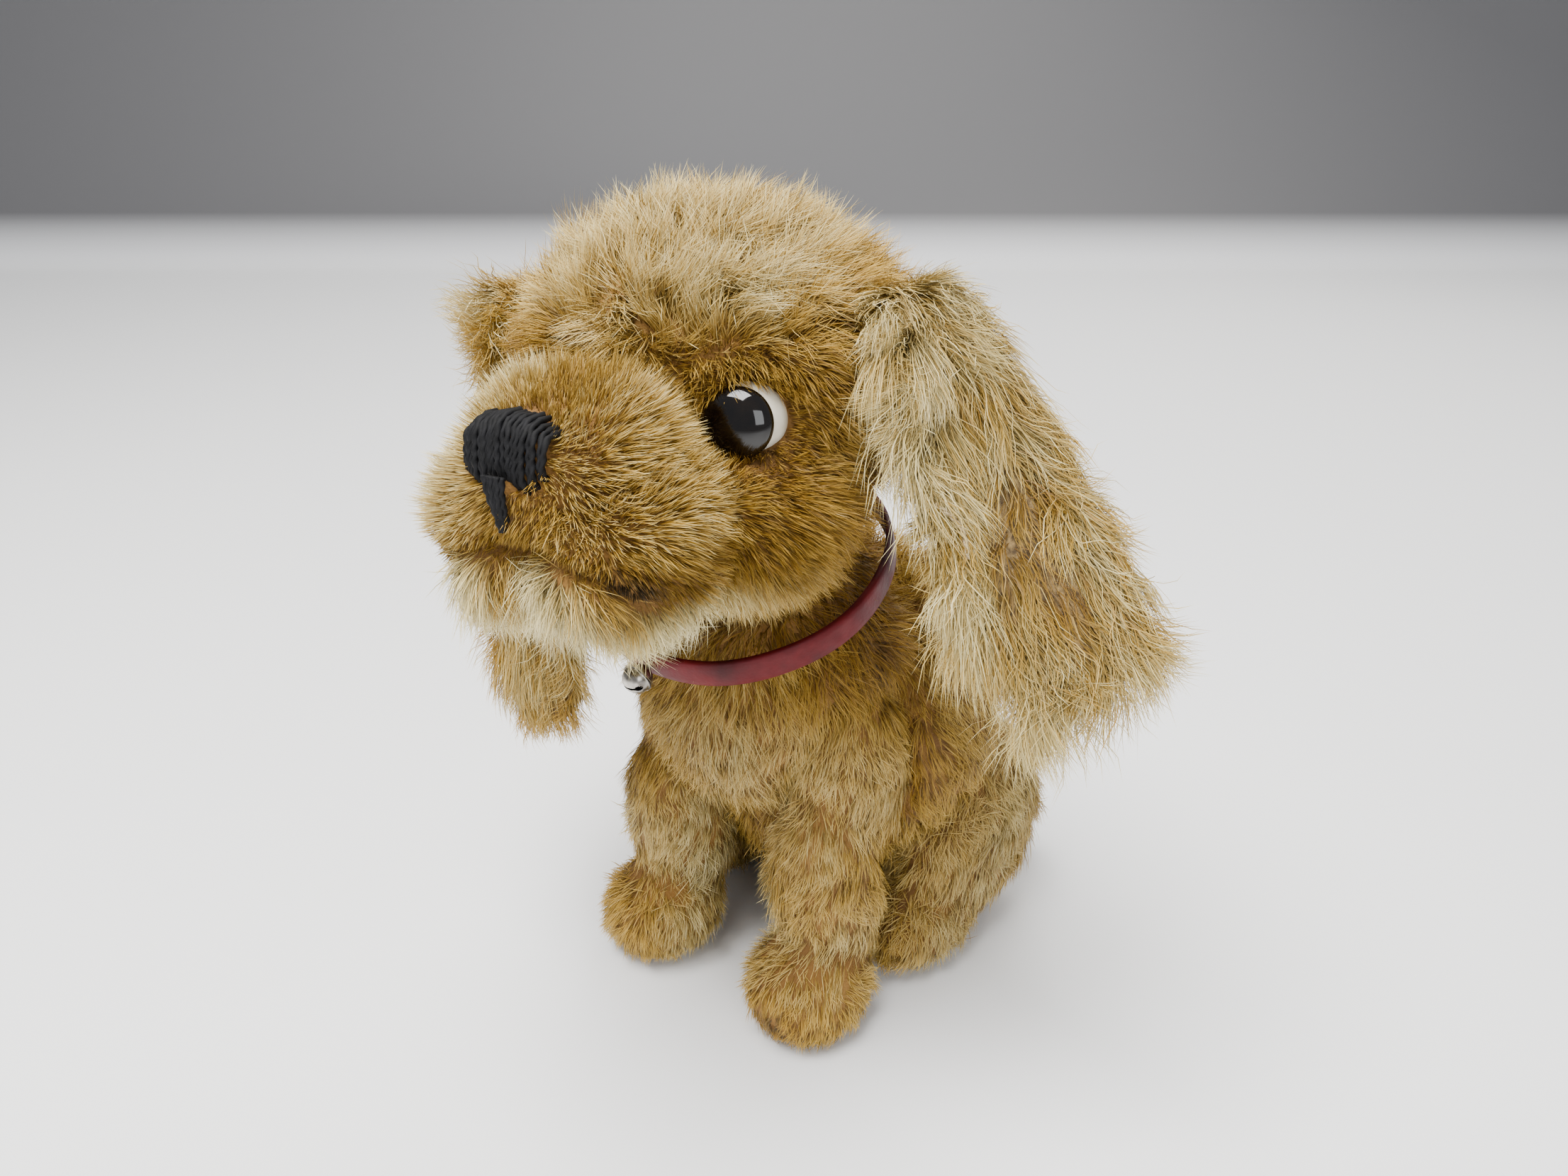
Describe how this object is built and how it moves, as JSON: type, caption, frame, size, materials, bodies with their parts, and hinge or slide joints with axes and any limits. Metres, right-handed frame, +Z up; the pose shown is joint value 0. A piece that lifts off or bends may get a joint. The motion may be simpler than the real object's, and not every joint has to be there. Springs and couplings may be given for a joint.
{
  "type": "plush puppy toy",
  "caption": "Sitting mohair plush puppy with a swivelling head, long hanging ears, glass eyes, an embroidered nose and a collar with a bell.",
  "frame": {"origin": "middle of the footprint of the bounding box, on the floor under the seat and paws", "axes": "+Z up, the puppy faces -Y, its own left side is +X"},
  "size_m": [0.1004, 0.1162, 0.1325],
  "materials": {
    "gold_pile": "dense mohair pile",
    "pale_pile": "tufted mohair pile",
    "ear_pile": "long silky mohair pile",
    "wood_wool": "packed fibre",
    "board": "matt fibreboard",
    "steel": "plain wire and sheet",
    "nickel": "worn plating",
    "white_glass": "polished",
    "black_glass": "polished",
    "black_floss": "twisted thread in satin stitches",
    "red_leather": "smooth, semi-gloss"
  },
  "bodies": {
    "torso": {"body_side_left": "gold_pile", "body_side_right": "gold_pile", "chest_gusset": "pale_pile", "body_filling": "wood_wool", "front_leg_left": "gold_pile", "front_leg_right": "gold_pile", "hind_leg_left": "gold_pile", "hind_leg_right": "gold_pile", "tail": "gold_pile", "neck_disc_lower": "board", "neck_washer_lower": "steel", "cotter_pin": "steel"},
    "head": {"neck_disc_upper": "board", "neck_washer_upper": "steel", "head_side_left": "gold_pile", "head_side_right": "gold_pile", "head_gusset": "pale_pile", "chin_panel": "pale_pile", "head_filling": "wood_wool", "eye_left_ball": "white_glass", "eye_left_pupil": "black_glass", "eye_left_shank": "steel", "eye_right_ball": "white_glass", "eye_right_pupil": "black_glass", "eye_right_shank": "steel", "nose_stitching": "black_floss"},
    "ear_left": {"ear_left": "ear_pile", "ear_left_lining": "ear_pile"},
    "ear_right": {"ear_right": "ear_pile", "ear_right_lining": "ear_pile"},
    "collar": {"collar_strap": "red_leather", "collar_rivet": "nickel"},
    "bell": {"bell_back": "nickel", "bell_front": "nickel", "bell_shank": "steel"},
    "pellet": {"bell_pellet": "steel"}
  },
  "joints": [
    {"name": "head_swivel", "type": "hinge", "parent": "torso", "child": "head", "pos_m": [-0.00892, -0.00806, 0.081], "axis": [0, -0.342, 0.9397], "continuous": true},
    {"name": "ear_left_flap", "type": "hinge", "parent": "head", "child": "ear_left", "pos_m": [0.01604, -0.00463, 0.12375], "axis": [0.0125, -0.9997, 0.0219], "range_deg": [0, 80]},
    {"name": "ear_right_flap", "type": "hinge", "parent": "head", "child": "ear_right", "pos_m": [-0.04276, -0.01543, 0.11841], "axis": [-0.2372, 0.9571, -0.1665], "range_deg": [0, 80]},
    {"name": "collar_turn", "type": "hinge", "parent": "torso", "child": "collar", "pos_m": [-0.00892, -0.00806, 0.081], "axis": [0, -0.342, 0.9397], "continuous": true},
    {"name": "bell_spin", "type": "hinge", "parent": "collar", "child": "bell", "pos_m": [-0.00892, -0.03214, 0.07085], "axis": [0, 0.9397, 0.342], "continuous": true},
    {"name": "pellet_roll", "type": "slide", "parent": "bell", "child": "pellet", "axis": [0, 0, 1], "range_m": [0, 0.0017]}
  ]
}
